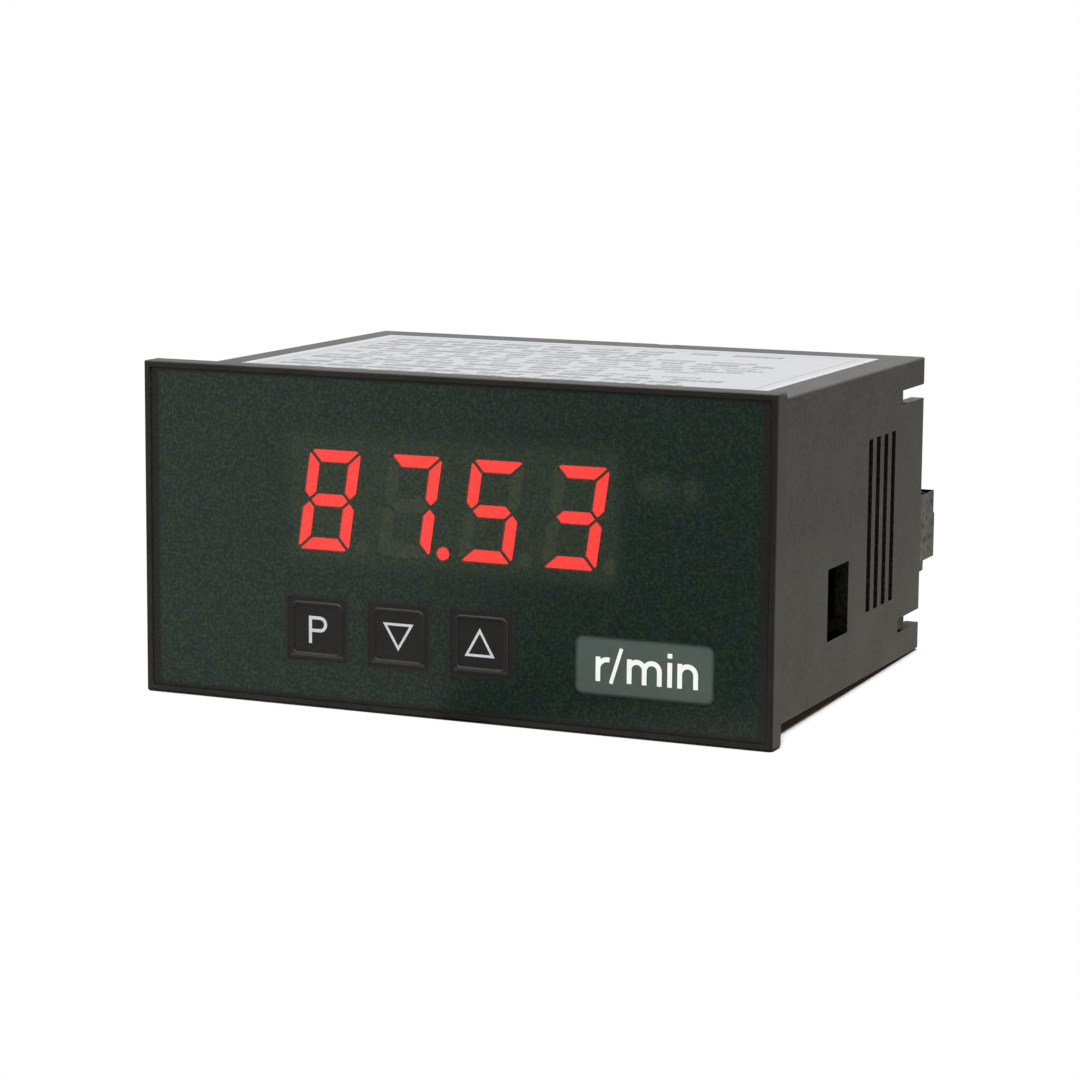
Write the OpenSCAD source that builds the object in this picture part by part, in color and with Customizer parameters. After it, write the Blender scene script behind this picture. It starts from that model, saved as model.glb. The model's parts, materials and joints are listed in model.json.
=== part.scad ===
// Digital panel meter with a 96 x 48 mm front, four digits and plug-in terminals.
// Millimetres. X runs to the right seen from the front, Y into the panel, Z up.
// The origin is the centre of the panel cut-out, in the front surface of the panel.

/* [Front frame] */
// Width of the front frame
bezel_w = 96; // [95.5:0.5:104]
// Height of the front frame
bezel_h = 48; // [47.5:0.5:54]
// Thickness of the front frame
bezel_t = 3.4; // [3.2:0.1:5]
// Corner radius of the front frame
bezel_r = 0.4; // [0.3:0.1:1.1]
// Rounding of the frame's front edges
bezel_edge_r = 0.3; // [0.2:0.1:0.6]
// Width of the raised rim around the film
rim_w = 0.85; // [0.7:0.05:1.4]
// Height of the rim above the film
rim_step = 0.3; // [0.2:0.05:0.5]
// Thickness of the seal behind the frame
gasket_t = 1; // [0.6:0.1:1.5]

/* [Case] */
// Reach of the front frame past the case at each side
frame_reach_x = 2.3; // [1.8:0.1:2.8]
// Reach of the front frame past the case above and below
frame_reach_z = 1.55; // [1.3:0.05:1.75]
// Length of the case behind the panel surface
body_len = 68.3; // [68:0.1:90]
// Wall of the case
wall = 2; // [1.6:0.1:2.1]
// Corner radius of the case
body_r = 0.3; // [0.2:0.1:1.2]
// Thickness of the front wall behind the film
front_wall = 2; // [1.9:0.1:2.6]

/* [Side openings] */
// Number of vent slots in each side
slot_count = 4; // [2:1:5]
// Width of a vent slot
slot_w = 1.85; // [1.2:0.05:2.2]
// Length of a vent slot
slot_len = 25.4; // [16:0.2:27]
// Distance between neighbouring slots
slot_pitch = 3.62; // [3:0.01:3.8]
// Distance of the last slot's middle behind the panel surface
last_slot_y = 53.7; // [50:0.1:53.8]
// Length of the hole for a fixing clamp
clamp_hole_len = 9.1; // [6:0.1:10]
// Height of the hole for a fixing clamp
clamp_hole_h = 10.4; // [8:0.1:10.8]
// Start of the clamp hole behind the panel surface
clamp_hole_y = 24.5; // [22:0.1:26]
// Height of the clamp hole's middle
clamp_hole_z = -9; // [-9.2:0.1:-6]
// Height of a board notch in the rear edge
notch_h = 2.1; // [2:0.05:2.3]
// Depth of a board notch, from the rear edge
notch_len = 10.5; // [9.5:0.1:10.7]
// Distance of the notches above and below the centre
notch_z = 17.3; // [17.1:0.1:17.4]

/* [Front film] */
// Thickness of the front film
film_t = 0.25; // [0.15:0.05:0.4]
// Groove between film and rim
film_gap = 0.15; // [0.1:0.05:0.4]

/* [Display] */
// Digits shown, from left to right
reading = [8, 7, 5, 3]; // [0:1:9]
// Number of digits before the decimal point
point_after = 2; // [1:1:4]
// Distance between digits
digit_pitch = 12.52; // [12.45:0.01:12.7]
// Height of a digit
digit_h = 14.4; // [12:0.1:15]
// Width of a digit
digit_w = 8.1; // [7:0.1:8.3]
// Slant of a digit in degrees
slant = 8; // [0:0.5:10]
// Width of a segment
seg_w = 1.85; // [1.4:0.05:2]
// Gap between segments
seg_gap = 0.3; // [0.2:0.05:0.4]
// Width, depth and height of a digit module
module_size = [12.4, 8, 19]; // [6:0.1:19.4]
// Height of the digits' middle above the centre
digit_z = 5.5; // [5.3:0.1:6]
// Height of the two status lamps above the centre
lamp_z = 10.1; // [8:0.1:11]
// Place of the first status lamp, to the right of the centre
lamp_x = 28.9; // [28.5:0.1:30]
// Distance between the status lamps
lamp_pitch = 6.45; // [5:0.05:7]
// Diameter of a status lamp
lamp_d = 3; // [2:0.1:3.2]

/* [Keys] */
// Width of a key
key_w = 9.1; // [8:0.1:9.4]
// Height of a key
key_h = 8.75; // [8:0.05:9.2]
// Distance between keys
key_pitch = 12.75; // [12:0.05:13.5]
// Place of the middle key, right of the centre
key_x = -7.7; // [-10:0.1:-7]
// Height of the keys above the centre
key_z = -12.95; // [-13.4:0.05:-12.9]
// Travel of a key
key_travel = 0.5; // [0.2:0.05:0.5]
// Gap around a key in the film
key_gap = 0.1; // [0.08:0.01:0.15]
// Width of the embossed ridge on a key
ridge_w = 0.65; // [0.5:0.05:0.75]

/* [Unit window] */
// Width of the window for the unit strip
unit_w = 20.4; // [14:0.2:22]
// Height of the window for the unit strip
unit_h = 8.15; // [6:0.05:9]
// Place of the window's middle, right of the centre
unit_x = 29.3; // [28:0.1:30]
// Height of the window's middle above the centre
unit_z = -14.5; // [-15:0.1:-14]

/* [Boards] */
// Thickness of the circuit boards
board_t = 1.6; // [1:0.1:1.6]
// Gap between the case and the boards' edges
board_gap = 0.25; // [0.15:0.05:0.4]

/* [Terminals] */
// Distance between poles
pole_pitch = 5.08; // [5:0.01:5.1]
// Poles of the supply plug
supply_poles = 5; // [2:1:5]
// Poles of the input plug
input_poles = 6; // [2:1:6]
// Room for the row of plugs at its two ends together
row_room = 1; // [0.6:0.1:6]
// Length of the plugs' tongue in the socket
tongue_len = 7.5; // [6:0.1:8.5]
// Length of a plug behind its socket
plug_len = 11.2; // [10.8:0.1:13]
// Distance that a socket stands out of the case
socket_out = 4.7; // [4:0.1:5.5]

/* [Hidden] */
$fn = 48;

cut = 0.5;        // how far a cutter runs past a face
fit_gap = 0.1;    // gap of pieces that seat in each other
slide_gap = 0.15; // gap beside pieces that slide

// Planes across the depth, from the front to the rear
y_flange = -gasket_t;
y_front = y_flange - bezel_t;
y_film = y_front + rim_step;
y_wall = y_film + film_t;
y_wall_back = y_wall + front_wall;
digit_gap = 0.35;
y_digits = y_wall + digit_gap;
y_board = y_digits + module_size.y;
y_board_back = y_board + board_t;
y_notch = body_len - notch_len;

body_w = bezel_w - 2 * frame_reach_x;
body_h = bezel_h - 2 * frame_reach_z;
inner_w = body_w - 2 * wall;
inner_h = body_h - 2 * wall;
inner_r = 0.5;
recess_w = bezel_w - 2 * rim_w;
recess_h = bezel_h - 2 * rim_w;
film_w = recess_w - 2 * film_gap;
film_h = recess_h - 2 * film_gap;
film_r = 0.4;

// Display window in the front wall, round the modules and the lamps
window_gap = 0.6;
window_left = -1.5 * digit_pitch - module_size.x / 2 - window_gap;
window_right = lamp_x + lamp_pitch + lamp_d / 2 + 2 * window_gap;
window_h = module_size.z + 2 * window_gap;

// Keys: a pad in the film's window, a flange behind the film and a stem
flange_over = 0.55;
flange_t = 0.5;
pad_back = 0.05;     // gap between the flange and the film
stem_side = 3;
ridge_h = 0.25;
ridge_inset = 0.4;
key_r = 0.3;
ridge_r = 1.1;
ridge_tube_r = (ridge_h * ridge_h + ridge_w * ridge_w / 4) / (2 * ridge_h);
y_pad_flange = y_wall + pad_back;
y_pocket = y_pad_flange + flange_t + key_travel + fit_gap;
key_places = [key_x - key_pitch, key_x, key_x + key_pitch];

// Key switches on the display board
switch_side = 6;
switch_t = 3.5;
plunger_d = 3.4;
plunger_out = 0.8;
y_switch = y_board - switch_t;
y_plunger = y_switch - plunger_out;
plunger_seat = 0.6;  // length of the plunger inside the switch

// Main board
board_seat = 0.1;    // gap between board and the top of its notch
board_top = -notch_z + notch_h / 2 - board_seat;
board_bottom = board_top - board_t;
board_rear_gap = 0.7;
ear_len = 3.3;
y_main_front = y_board_back + fit_gap;
y_main_rear = body_len - board_rear_gap;

// Guide ribs, cover stops and snaps inside the case
rib_t = 1;
rib_out = 1.8;
stop_out = 1.2;
cover_t = 1.5;
cover_gap = 0.3;
y_cover_back = y_notch - cover_gap;
y_cover = y_cover_back - cover_t;
y_stop = y_cover - rib_t;
guide_start = 4;     // distance of the guide ribs behind the display board

// Terminals, from the left to the right seen from the front
relay_poles = floor((inner_w - row_room) / pole_pitch) - supply_poles - input_poles;
pole_counts = [supply_poles, input_poles, relay_poles];
row_left = -pole_pitch * (supply_poles + input_poles + relay_poles) / 2;
group_x = [
    row_left,
    row_left + pole_pitch * supply_poles,
    row_left + pole_pitch * (supply_poles + input_poles)
];
group_gap = 0.2;
y_socket_mouth = body_len + socket_out;
socket_floor = 1.5;
socket_h = 8.4;
socket_wall = 0.9;
socket_end = 0.8;
pin_side = 1;
pin_out = 6.5;
y_socket = y_socket_mouth - tongue_len - slide_gap - socket_floor - fit_gap;
pin_rise = 4.2;
pin_z = board_top + pin_rise;
y_plug = y_socket_mouth + slide_gap;
y_plug_back = y_plug + plug_len;
plug_h = 16.35;
plug_top = board_top + plug_h;

// Clamp chamber, clamp and screw of one pole
chamber = [4.1, 7.8, 5.2];
clamp_size = [3.9, 6.6, 5];
clamp_inset = 0.9;
wire_hole = [2.9, 3.2];
chamber_drop = 10;   // from the plug's top to the chamber's floor
chamber_z = plug_top - chamber_drop;
screw_inset = 4.6;   // from the plug's rear to the screw
screw_y = y_plug_back - screw_inset;
screw_head_d = 3.7;
screw_head_t = 1.7;
screw_sunk = 0.7;
screw_d = 2.6;
driver_slot = [0.7, 0.8];

// Sheet pieces
label_t = 0.12;
label_size = [81.6, 58.2];
label_start = 2.7;   // behind the panel surface
strip_t = 0.25;
strip_over = 1;

plastic = "#37352f";
board_green = "#4a5a2a";
moulding = "#232426";
metal = "#b9bcc0";

// ---- shared shapes ----

// Sweep a drawing of X and Z from one depth to another
module along_y(from, to) {
    translate([0, to, 0]) rotate([90, 0, 0]) linear_extrude(to - from) children();
}

// Sweep a drawing of Y and Z from one side to the other
module along_x(from, to) {
    translate([from, 0, 0]) rotate([90, 0, 90]) linear_extrude(to - from) children();
}

// Sweep a drawing of X and Y upwards
module along_z(from, to) {
    translate([0, 0, from]) linear_extrude(to - from) children();
}

module rounded_rect(w, h, r) {
    square([w - 2 * r, h], center = true);
    square([w, h - 2 * r], center = true);
    for (x = [-1, 1], y = [-1, 1]) translate([x * (w / 2 - r), y * (h / 2 - r)]) circle(r);
}

// A block that stands on the main board, centred on x and y
module on_board(x, y, size) {
    translate([x - size.x / 2, y - size.y / 2, board_top]) cube(size);
}

// ---- case ----

// Section of the frame with rounded front edges
module frame_section(across) {
    r = bezel_edge_r;
    translate([-across / 2, y_front + r]) square([across, bezel_t - r]);
    translate([-across / 2 + r, y_front]) square([across - 2 * r, bezel_t]);
    for (side = [-1, 1]) translate([side * (across / 2 - r), y_front + r]) circle(r);
}

module front_frame() {
    intersection() {
        along_y(y_front, y_flange) rounded_rect(bezel_w, bezel_h, bezel_r);
        along_z(-bezel_h / 2, bezel_h / 2) frame_section(bezel_w);
        rotate([0, 90, 0]) along_z(-bezel_w / 2, bezel_w / 2) frame_section(bezel_h);
    }
}

// Posts in the corners that the display board stands against
module board_posts() {
    post = 4;
    for (x = [-1, 1], z = [-1, 1])
        along_y(y_wall_back - cut, y_board)
            translate([x * (inner_w - post) / 2, z * (inner_h - post) / 2])
                square([post + cut, post + cut], center = true);
}

// Pairs of ribs that guide a board along each side wall
module board_guides() {
    for (side = [-1, 1], level = [-1, 1], edge = [board_top + fit_gap, board_bottom - fit_gap - rib_t])
        along_y(y_board_back + guide_start, y_stop)
            translate([side * (inner_w - rib_out) / 2, -level * (edge + rib_t / 2)])
                square([rib_out + cut, rib_t], center = true);
}

// Ribs that the rear cover stands against, and bumps that hold it there
module cover_seat() {
    side_len = 24;
    top_len = 20;
    top_x = 26;
    bump_r = 0.45;
    bump_len = 8;
    for (side = [-1, 1]) {
        along_y(y_stop, y_cover)
            translate([side * (inner_w - stop_out) / 2, 0]) square([stop_out + cut, side_len], center = true);
        along_y(y_stop, y_cover)
            translate([side * top_x, (inner_h - stop_out) / 2]) square([top_len, stop_out + cut], center = true);
        translate([side * top_x - bump_len / 2, y_cover_back + bump_r + fit_gap, inner_h / 2])
            rotate([0, 90, 0]) cylinder(r = bump_r, h = bump_len);
    }
}

// Small bumps behind the main board's rear corners
module board_snaps() {
    bump = [0.5, board_rear_gap - fit_gap, board_t - 2 * fit_gap];
    for (side = [-1, 1])
        translate([side * (inner_w - bump.x) / 2, body_len - bump.y / 2, (board_top + board_bottom) / 2])
            cube([bump.x + cut, bump.y, bump.z], center = true);
}

module side_cuts() {
    through = body_w / 2 + cut;
    for (side = [0, 1]) mirror([side, 0, 0]) {
        for (i = [0 : slot_count - 1])
            translate([inner_w / 2 - cut, last_slot_y - i * slot_pitch - slot_w / 2, -slot_len / 2])
                cube([through - inner_w / 2 + cut, slot_w, slot_len]);
        translate([inner_w / 2 - cut, clamp_hole_y, clamp_hole_z - clamp_hole_h / 2])
            cube([through - inner_w / 2 + cut, clamp_hole_len, clamp_hole_h]);
        for (level = [-1, 1])
            translate([inner_w / 2 - rib_out, y_notch, level * notch_z - notch_h / 2])
                cube([through - inner_w / 2 + rib_out, notch_len + cut, notch_h]);
    }
}

module key_cuts() {
    for (x = key_places) {
        pocket_w = key_w + 2 * (flange_over + slide_gap);
        pocket_h = key_h + 2 * (flange_over + slide_gap);
        stem_hole = stem_side + 4 * slide_gap;
        along_y(y_wall - cut, y_pocket) translate([x, key_z]) rounded_rect(pocket_w, pocket_h, key_r + 0.3);
        along_y(y_wall - cut, y_wall_back + cut) translate([x, key_z]) square(stem_hole, center = true);
    }
}

module housing() color(plastic) {
    mark_w = 2.5;
    mark_x = 3.5;
    difference() {
        union() {
            difference() {
                union() {
                    front_frame();
                    along_y(y_flange - cut, body_len) rounded_rect(body_w, body_h, body_r);
                }
                along_y(y_wall_back, body_len + cut) rounded_rect(inner_w, inner_h, inner_r);
            }
            board_posts();
            board_guides();
            cover_seat();
            board_snaps();
        }
        along_y(y_front - cut, y_wall) rounded_rect(recess_w, recess_h, film_r);
        along_y(y_wall - cut, y_wall_back + cut)
            translate([window_left, digit_z - window_h / 2]) square([window_right - window_left, window_h]);
        key_cuts();
        along_y(y_wall - cut, y_wall + strip_t + fit_gap)
            translate([unit_x, unit_z])
                square([unit_w + 2 * (strip_over + fit_gap), unit_h + 2 * (strip_over + fit_gap)], center = true);
        side_cuts();
        translate([mark_x - mark_w / 2, body_len - cut, body_h / 2 - wall / 2]) cube([mark_w, 2 * cut, wall]);
    }
}

module panel_gasket() color("#1d1d1d") {
    inset = 0.35;
    along_y(y_flange, 0) difference() {
        rounded_rect(bezel_w - 2 * inset, bezel_h - 2 * inset, bezel_r);
        rounded_rect(body_w + 2 * fit_gap, body_h + 2 * fit_gap, body_r);
    }
}

module rear_cover() color(plastic) {
    side_gap = 0.25;
    rim = [1.2, 2];
    rim_inset = rib_out + fit_gap;
    vent = [1.7, 13];
    vent_pitch = 4;
    vent_count = 19;
    top = inner_h / 2 - side_gap;
    bottom = board_top + fit_gap;
    half = inner_w / 2 - side_gap;
    difference() {
        union() {
            along_y(y_cover, y_cover_back) translate([-half, bottom]) square([2 * half, top - bottom]);
            along_y(y_cover - rim.y, y_cover) difference() {
                translate([-half + rim_inset, bottom]) square([2 * (half - rim_inset), top - rim_inset - bottom]);
                translate([-half + rim_inset + rim.x, bottom + rim.x])
                    square([2 * (half - rim_inset - rim.x), top - rim_inset - bottom - 2 * rim.x]);
            }
        }
        for (i = [0 : vent_count - 1])
            along_y(y_cover - cut, y_cover_back + cut)
                translate([(i - (vent_count - 1) / 2) * vent_pitch, top - 3.5 - vent.y / 2])
                    square(vent, center = true);
    }
}

// ---- front ----

module front_film() color("#1c2620") {
    along_y(y_film, y_wall) difference() {
        rounded_rect(film_w, film_h, film_r);
        for (x = key_places)
            translate([x, key_z]) rounded_rect(key_w + 2 * key_gap, key_h + 2 * key_gap, key_r);
    }
}

module unit_strip() color("#59645d") {
    along_y(y_wall, y_wall + strip_t)
        translate([unit_x, unit_z]) square([unit_w + 2 * strip_over, unit_h + 2 * strip_over], center = true);
}

module top_label() color("#d2d5da") {
    translate([-label_size.x / 2, label_start, body_h / 2]) cube([label_size.x, label_size.y, label_t]);
}

// Rounded ridge along a key's edge, with straight runs and bent corners
module key_ridge() {
    bend_r = ridge_r - ridge_w / 2;
    half_x = key_w / 2 - ridge_inset - ridge_r;
    half_z = key_h / 2 - ridge_inset - ridge_r;
    for (side = [0, 1]) mirror([side, 0, 0]) translate([half_x + bend_r, 0, -half_z])
        cylinder(r = ridge_tube_r, h = 2 * half_z);
    for (level = [0, 1]) mirror([0, 0, level]) translate([-half_x, 0, half_z + bend_r])
        rotate([0, 90, 0]) cylinder(r = ridge_tube_r, h = 2 * half_x);
    for (side = [0, 1], level = [0, 1])
        mirror([side, 0, 0]) mirror([0, 0, level]) translate([half_x, 0, half_z]) intersection() {
            rotate([90, 0, 0]) rotate_extrude() translate([bend_r, 0]) circle(ridge_tube_r);
            translate([0, -ridge_tube_r, 0]) cube([ridge_r + cut, 2 * ridge_tube_r, ridge_r + cut]);
        }
}

module key_pad(place) color("#2a2826") {
    x = key_places[place];
    along_y(y_film, y_pad_flange + flange_t) translate([x, key_z]) rounded_rect(key_w, key_h, key_r);
    along_y(y_pad_flange, y_pad_flange + flange_t)
        translate([x, key_z]) rounded_rect(key_w + 2 * flange_over, key_h + 2 * flange_over, key_r);
    translate([x, y_film - ridge_h + ridge_tube_r, key_z]) key_ridge();
    along_y(y_pad_flange + flange_t, y_plunger) translate([x, key_z]) square(stem_side, center = true);
}

module switch_plunger(place) color("#6b6f70") {
    along_y(y_plunger, y_switch + plunger_seat) translate([key_places[place], key_z]) circle(d = plunger_d);
}

module key_switch(place) color("#20211f") {
    bore_d = plunger_d + 4 * slide_gap;
    depth = plunger_seat + key_travel + slide_gap;
    leg = [0.7, 1.6, 0.3];
    x = key_places[place];
    difference() {
        along_y(y_switch, y_board) translate([x, key_z]) rounded_rect(switch_side, switch_side, 0.4);
        along_y(y_switch - cut, y_switch + depth) translate([x, key_z]) circle(d = bore_d);
    }
    for (side = [-1, 1], row = [-1, 1])
        translate([x + side * (switch_side / 2 + leg.z / 2), y_board - leg.y / 2, key_z + row * switch_side / 3])
            cube([leg.z, leg.y, leg.x], center = true);
}

// ---- display ----

// Which segments are on for the digits 0 to 9, in the order a to g
LIT = [
    [1, 1, 1, 1, 1, 1, 0], [0, 1, 1, 0, 0, 0, 0], [1, 1, 0, 1, 1, 0, 1], [1, 1, 1, 1, 0, 0, 1],
    [0, 1, 1, 0, 0, 1, 1], [1, 0, 1, 1, 0, 1, 1], [1, 0, 1, 1, 1, 1, 1], [1, 1, 1, 0, 0, 0, 0],
    [1, 1, 1, 1, 1, 1, 1], [1, 1, 1, 1, 0, 1, 1]
];
function mirror_x(points) = [for (p = points) [-p.x, p.y]];
function mirror_z(points) = [for (p = points) [p.x, -p.y]];
function slanted(points) = [for (p = points) [p.x + p.y * tan(slant), p.y]];

half_w = digit_w / 2;
half_h = digit_h / 2;
mitre = seg_gap * 0.7;
tip = 0.5;           // how much of a mitred tip is cut off
top_segment = [
    [-half_w + mitre + tip, half_h], [half_w - mitre - tip, half_h],
    [half_w - mitre - tip / 2, half_h - tip / 2], [half_w - seg_w - mitre, half_h - seg_w],
    [-half_w + seg_w + mitre, half_h - seg_w], [-half_w + mitre + tip / 2, half_h - tip / 2]
];
side_segment = [
    [half_w, half_h - mitre - tip], [half_w - tip / 2, half_h - mitre - tip / 2],
    [half_w - seg_w, half_h - mitre - seg_w], [half_w - seg_w, mitre + seg_w / 2],
    [half_w - seg_w / 2, mitre], [half_w, mitre + seg_w / 2]
];
middle_segment = [
    [half_w - seg_w - mitre, seg_w / 2], [half_w - seg_w / 2 - mitre, 0],
    [half_w - seg_w - mitre, -seg_w / 2], [-half_w + seg_w + mitre, -seg_w / 2],
    [-half_w + seg_w / 2 + mitre, 0], [-half_w + seg_w + mitre, seg_w / 2]
];
segment_outlines = [
    top_segment, side_segment, mirror_z(side_segment), mirror_z(top_segment),
    mirror_x(mirror_z(side_segment)), mirror_x(side_segment), middle_segment
];
segment_depth = 0.6;
point_r = 1;
point_place = [digit_w / 2 + 1.05, -digit_h / 2 + 0.85];

function digit_x(place) = (place - 1.5) * digit_pitch;

module in_digit(place) {
    along_y(y_digits, y_digits + segment_depth) translate([digit_x(place), digit_z]) children();
}

module segments(on) {
    for (place = [0 : 3]) {
        for (i = [0 : 6])
            if ((LIT[reading[place]][i] == 1) == on) in_digit(place) polygon(slanted(segment_outlines[i]));
        if ((place + 1 == point_after) == on) in_digit(place) translate(point_place) circle(point_r);
    }
}

module digit_module(place) color("#33352f") {
    difference() {
        along_y(y_digits, y_board)
            translate([digit_x(place), digit_z]) square([module_size.x, module_size.z], center = true);
        for (outline = segment_outlines) in_digit(place) polygon(slanted(outline));
        in_digit(place) translate(point_place) circle(point_r + 0.03);
    }
}

module segments_lit() color("#ff3a30") segments(true);

module segments_unlit() color("#5c4a40") segments(false);

module status_lamp(place) color("#5f5a4a") {
    x = lamp_x + place * lamp_pitch;
    r = lamp_d / 2;
    collar_t = 1;
    length = 5.3;
    lead = 0.5;
    lead_pitch = 1.27;
    y_collar = y_digits + length;
    along_y(y_digits + r, y_collar) translate([x, lamp_z]) circle(r);
    along_y(y_collar - collar_t, y_collar) translate([x, lamp_z]) circle(r + 0.4);
    intersection() {
        translate([x, y_digits + r, lamp_z]) sphere(r);
        translate([x - r, y_digits - cut, lamp_z - r]) cube([2 * r, r + cut, 2 * r]);
    }
    for (side = [-1, 1])
        along_y(y_collar, y_board) translate([x + side * lead_pitch / 2, lamp_z]) square(lead, center = true);
}

module display_board() color(board_green) {
    along_y(y_board, y_board_back) square([inner_w - 2 * board_gap, inner_h - 2 * board_gap], center = true);
}

controller_size = [12, 1.5, 12];
controller_place = [-14, 4];

module controller_chip() color(moulding) {
    translate([controller_place.x, y_board_back + controller_size.y / 2, controller_place.y])
        cube(controller_size, center = true);
}

// ---- main board ----

module main_board() color(board_green) {
    ear_gap = 0.1;
    along_z(board_bottom, board_top) {
        translate([-inner_w / 2 + board_gap, y_main_front])
            square([inner_w - 2 * board_gap, y_main_rear - y_main_front]);
        translate([-body_w / 2 + ear_gap, y_notch + fit_gap]) square([body_w - 2 * ear_gap, ear_len]);
    }
}

// Angled pin strip that joins the display board to the main board
link_count = 12;
link_pitch = 2.54;
link_bar = 2.5;
link_pin = 0.64;
link_x = 18;

module board_link() color("#1b1b1b") {
    difference() {
        on_board(link_x, y_board_back + 0.3 + link_bar / 2, [link_count * link_pitch, link_bar, link_bar]);
        for (i = [0 : link_count - 1])
            translate([link_x + (i - (link_count - 1) / 2) * link_pitch, y_board_back + link_bar / 2, board_top + link_bar / 2])
                cube([link_pin, 2 * link_bar, link_pin], center = true);
    }
}

module board_link_pins() color("#c9a24b") {
    leg_y = y_board_back + link_bar + 1.2;
    middle = board_top + link_bar / 2;
    for (i = [0 : link_count - 1])
        along_x(link_x + (i - (link_count - 1) / 2) * link_pitch - link_pin / 2,
                link_x + (i - (link_count - 1) / 2) * link_pitch + link_pin / 2) {
            translate([y_board_back, middle - link_pin / 2]) square([leg_y - y_board_back, link_pin]);
            translate([leg_y - link_pin, board_top]) square([link_pin, link_bar / 2 + link_pin / 2]);
        }
}

// Mains transformer: a laminated frame with two windows, and a coil round its middle leg
core_x = -22;
core_y = 36;
core_size = [30, 13, 25];
core_window = [5, 15];
core_leg = 10;
core_lift = 1;
coil_over = 5.5;

module transformer_core() color("#4b4a48") {
    middle = board_top + core_lift + core_size.z / 2;
    along_y(core_y - core_size.y / 2, core_y + core_size.y / 2) difference() {
        translate([core_x, middle]) square([core_size.x, core_size.z], center = true);
        for (side = [-1, 1])
            translate([core_x + side * (core_leg + core_window.x) / 2, middle]) square(core_window, center = true);
    }
}

module transformer_coil() color("#b58b2b") {
    middle = board_top + core_lift + core_size.z / 2;
    coil_w = core_leg + 2 * core_window.x - 2 * slide_gap;
    coil_h = core_window.y - 2 * slide_gap;
    deep = core_size.y + 2 * coil_over;
    foot = [coil_w, 1.2];
    difference() {
        along_z(middle - coil_h / 2, middle + coil_h / 2)
            translate([core_x, core_y]) rounded_rect(coil_w, deep, 1.5);
        translate([core_x, core_y, middle])
            cube([core_leg + 2 * fit_gap, core_size.y + 2 * fit_gap, coil_h + 2 * cut], center = true);
    }
    for (side = [-1, 1])
        translate([core_x - foot.x / 2, core_y + side * (deep / 2 - foot.y - 1) - foot.y / 2, board_top])
            cube([foot.x, foot.y, middle - coil_h / 2 - board_top + 0.5]);
}

// Output relays, side by side
relay_size = [10.2, 20, 15.4];
relay_from_side = [31.7, 18.7];
relay_from_cover = 14;

module relay(place) color("#1e4f86") {
    on_board(inner_w / 2 - relay_from_side[place], y_cover - relay_from_cover, relay_size);
}

// An upright can with a sloped shoulder and a sunk top
module capacitor(place, size) {
    shoulder = 0.5;
    rim = 1.2;
    sunk = 0.35;
    r = size[0] / 2;
    h = size[1];
    translate([place.x, place.y, board_top]) rotate_extrude() polygon([
        [0, 0], [r, 0], [r, h - shoulder], [r - shoulder, h], [r - rim, h], [r - rim, h - sunk], [0, h - sunk]
    ]);
}

smoothing_place = [1, 20];
smoothing_size = [12.5, 20];    // diameter and height
output_place = [-2.2, y_cover - 10];
output_size = [8, 12];

module smoothing_capacitor() color("#26282d") capacitor(smoothing_place, smoothing_size);

module output_capacitor() color("#26282d") capacitor(output_place, output_size);

rectifier_place = [-12, 16];
rectifier_size = [9, 5.4];      // diameter and height

module rectifier() color(moulding) {
    translate([rectifier_place.x, rectifier_place.y, board_top])
        cylinder(d = rectifier_size[0], h = rectifier_size[1]);
}

// Regulator in an upright package with its metal tab
regulator_from_side = 21.7;
regulator_y = 20;
regulator_body = [10, 4.4, 9];
regulator_tab = [10, 1.3, 15.5];
regulator_hole = [3.6, 12.6];   // diameter and height above the tab's foot
regulator_leg = [0.8, 0.5, 4];
regulator_leg_pitch = 2.54;
regulator_leg_back = 1.4;       // from the tab's front face

module regulator() {
    x = inner_w / 2 - regulator_from_side;
    y = regulator_y;
    foot = board_top + regulator_leg.z;
    color(moulding) translate([x - regulator_body.x / 2, y - regulator_body.y, foot]) cube(regulator_body);
    color(metal) difference() {
        translate([x - regulator_tab.x / 2, y, foot]) cube(regulator_tab);
        along_y(y - cut, y + regulator_tab.y + cut)
            translate([x, foot + regulator_hole[1]]) circle(d = regulator_hole[0]);
    }
    for (i = [-1, 0, 1]) color(metal)
        translate([x + i * regulator_leg_pitch - regulator_leg.x / 2, y - regulator_leg_back, board_top])
            cube(regulator_leg);
}

chip_from_side = 9.7;
converter_size = [7.5, 18, 2.4];
converter_y = 27;
crystal_size = [11, 4.6, 3.5];
crystal_y = 12.5;

module converter_chip() color(moulding) on_board(inner_w / 2 - chip_from_side, converter_y, converter_size);

module crystal() color(metal) {
    can = crystal_size;
    along_z(board_top, board_top + can.z)
        translate([inner_w / 2 - chip_from_side, crystal_y]) rounded_rect(can.x, can.y, can.y / 2 - 0.01);
}

varistor_place = [11.7, 15];    // from the left wall and behind the panel surface
varistor_size = [10, 4];        // diameter and thickness

module varistor() color("#2f5fa8") {
    d = varistor_size[0];
    t = varistor_size[1];
    lift = 1;
    lead = 0.8;
    lead_pitch = 7.5;
    x = -inner_w / 2 + varistor_place.x;
    y = varistor_place.y;
    along_y(y - t / 2, y + t / 2) translate([x, board_top + lift + d / 2]) circle(d = d);
    for (side = [-1, 1])
        translate([x + side * lead_pitch / 2 - lead / 2, y - lead / 2, board_top]) cube([lead, lead, lift + d / 4]);
}

// ---- terminals ----

function pole_x(group, pole) = group_x[group] + (pole + 0.5) * pole_pitch;

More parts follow.
